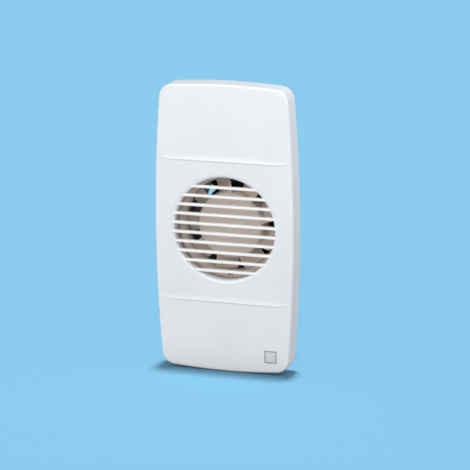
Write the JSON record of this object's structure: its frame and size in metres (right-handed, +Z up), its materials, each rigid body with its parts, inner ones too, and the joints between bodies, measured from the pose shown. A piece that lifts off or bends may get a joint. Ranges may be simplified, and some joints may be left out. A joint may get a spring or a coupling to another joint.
{
  "type": "wall extractor fan",
  "caption": "Slim wall-mounted axial extractor fan with a bowed lift-off cover, round slatted grille and rear duct spigot.",
  "frame": {"origin": "on the duct's axis in the plane of the wall, at the centre of the wall screws", "axes": "+Z up the wall, +Y into the wall along the duct's axis, the front faces -Y, +X to the right as seen from the front"},
  "size_m": [0.116, 0.0698, 0.235],
  "materials": {
    "cover_white": "satin moulded ABS, fine sheen",
    "badge_grey": "satin, blank",
    "base_white": "matt moulded ABS",
    "fan_beige": "matt moulded polypropylene",
    "motor_charcoal": "matt moulded polypropylene, charcoal",
    "lamination_steel": "stacked laminations",
    "zinc_steel": "zinc plated",
    "shaft_steel": "ground",
    "copper": "enamelled copper",
    "sintered_bronze": "sintered, oily",
    "brass": "drawn",
    "cast_aluminium": "die cast",
    "bobbin_nylon": "matt nylon",
    "felt": "oil-soaked felt",
    "fibre": "hard fibre",
    "terminal_nylon": "matt nylon",
    "grommet_rubber": "matt",
    "lead_brown": "PVC sleeve",
    "lead_blue": "PVC sleeve"
  },
  "bodies": {
    "base": {"back_plate": "base_white", "fan_tube": "fan_beige", "tube_screws": "zinc_steel", "motor_carrier": "motor_charcoal", "stator_core": "lamination_steel", "coil_bobbins": "bobbin_nylon", "coil_windings": "copper", "shading_rings": "copper", "front_bracket": "zinc_steel", "rear_bracket": "zinc_steel", "front_bush": "sintered_bronze", "rear_bush": "sintered_bronze", "oil_felts": "felt", "motor_screws": "zinc_steel", "motor_spacers": "zinc_steel", "motor_end_cap": "motor_charcoal", "terminal_box": "base_white", "terminal_lid": "base_white", "lid_screw": "zinc_steel", "terminal_block": "terminal_nylon", "terminal_clamps": "brass", "terminal_screws": "zinc_steel", "block_screw": "zinc_steel", "cord_clamp": "terminal_nylon", "clamp_screws": "zinc_steel", "cable_grommet": "grommet_rubber", "motor_lead_live": "lead_brown", "motor_lead_neutral": "lead_blue"},
    "cover": {"front_cover": "cover_white", "grille_funnel": "cover_white", "grille_slats": "cover_white", "badge_plate": "badge_grey"},
    "rotor": {"impeller_hub": "fan_beige", "impeller_blades": "fan_beige", "boss_ring": "zinc_steel", "shaft": "shaft_steel", "thrust_washers": "fibre", "rotor_core": "lamination_steel", "rotor_cage": "cast_aluminium"}
  },
  "joints": [
    {"name": "cover_pull", "type": "slide", "parent": "base", "child": "cover", "axis": [0, -1, 0], "range_m": [0, 0.06]},
    {"name": "impeller_spin", "type": "hinge", "parent": "base", "child": "rotor", "pos_m": [0, 0, 0], "axis": [0, 1, 0], "continuous": true}
  ]
}
